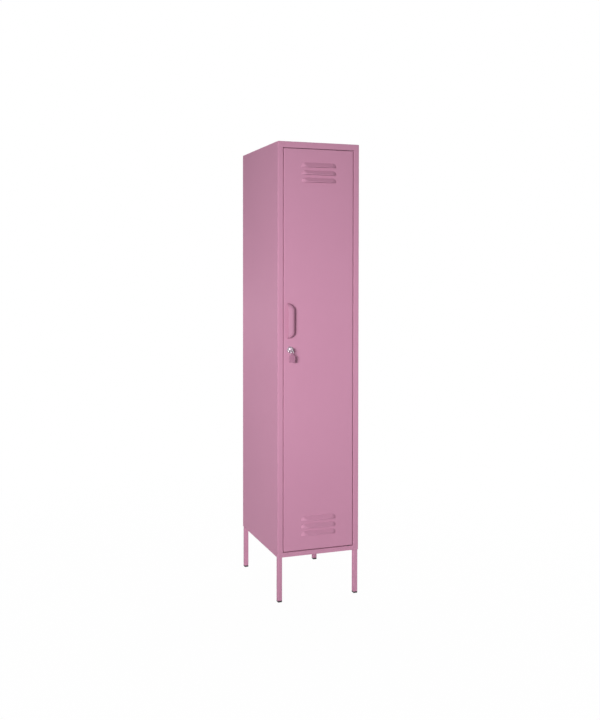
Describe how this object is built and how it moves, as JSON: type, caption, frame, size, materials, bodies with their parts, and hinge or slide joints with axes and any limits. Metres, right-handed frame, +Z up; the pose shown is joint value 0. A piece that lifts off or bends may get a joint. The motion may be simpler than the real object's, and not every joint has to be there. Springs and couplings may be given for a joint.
{
  "type": "storage locker",
  "caption": "Tall slim sheet-steel locker on square tube legs, with a louvred hinged door, cup pull, cam lock with key and tag, shelves on clips and a hanging rail.",
  "frame": {"origin": "on the floor, under the middle of the whole outline", "axes": "+Z up, -Y out of the front, +X towards the hinge side"},
  "size_m": [0.35, 0.487, 1.83],
  "materials": {
    "powder_coat": "satin",
    "chrome": "polished",
    "zinc_steel": "satin",
    "foot_plastic": "matte",
    "nylon": "matte",
    "rubber": "matte",
    "leather": "matte"
  },
  "bodies": {
    "cabinet": {"back_left_foot": "foot_plastic", "back_left_leg": "powder_coat", "back_left_shelf_strip": "powder_coat", "back_panel": "powder_coat", "back_right_foot": "foot_plastic", "back_right_leg": "powder_coat", "back_right_shelf_strip": "powder_coat", "bottom_panel": "powder_coat", "cable_grommet": "rubber", "door_buffers": "rubber", "front_left_foot": "foot_plastic", "front_left_leg": "powder_coat", "front_left_shelf_strip": "powder_coat", "front_right_foot": "foot_plastic", "front_right_leg": "powder_coat", "front_right_shelf_strip": "powder_coat", "hanging_rail": "zinc_steel", "left_side_panel": "powder_coat", "leg_bolts": "zinc_steel", "lower_hinge_pin": "zinc_steel", "lower_shelf": "powder_coat", "rail_brackets": "zinc_steel", "right_side_panel": "powder_coat", "shelf_clips": "zinc_steel", "top_panel": "powder_coat", "upper_hinge_pin": "zinc_steel", "upper_shelf": "powder_coat"},
    "door": {"door_skin": "powder_coat", "door_stiffener": "powder_coat", "hinge_plates": "powder_coat", "upper_hinge_bush": "nylon", "lower_hinge_bush": "nylon", "handle_pull": "powder_coat", "handle_screws": "zinc_steel", "lock_housing": "chrome", "lock_nut": "zinc_steel"},
    "lock_barrel": {"lock_plug": "chrome", "lock_cam": "zinc_steel", "cam_screw": "zinc_steel"},
    "key": {"key": "chrome"},
    "key_ring": {"key_ring": "zinc_steel"},
    "key_tag": {"key_tag": "leather"}
  },
  "joints": [
    {"name": "door_swing", "type": "hinge", "parent": "cabinet", "child": "door", "pos_m": [0.134, -0.2085, 0.198], "axis": [0, 0, 1], "range_deg": [0, 110]},
    {"name": "lock_turn", "type": "hinge", "parent": "door", "child": "lock_barrel", "pos_m": [-0.123, -0.2165, 1.006], "axis": [0, 1, 0], "range_deg": [0, 90]},
    {"name": "key_slide", "type": "slide", "parent": "lock_barrel", "child": "key", "axis": [0, -1, 0], "range_m": [0, 0.022]},
    {"name": "ring_swing", "type": "hinge", "parent": "key", "child": "key_ring", "pos_m": [-0.123, -0.239, 1.0047], "axis": [1, 0, 0], "range_deg": [-60, 12]},
    {"name": "tag_swing", "type": "hinge", "parent": "key_ring", "child": "key_tag", "pos_m": [-0.123, -0.239, 0.9917], "axis": [1, 0, 0], "range_deg": [-40, 10]}
  ]
}
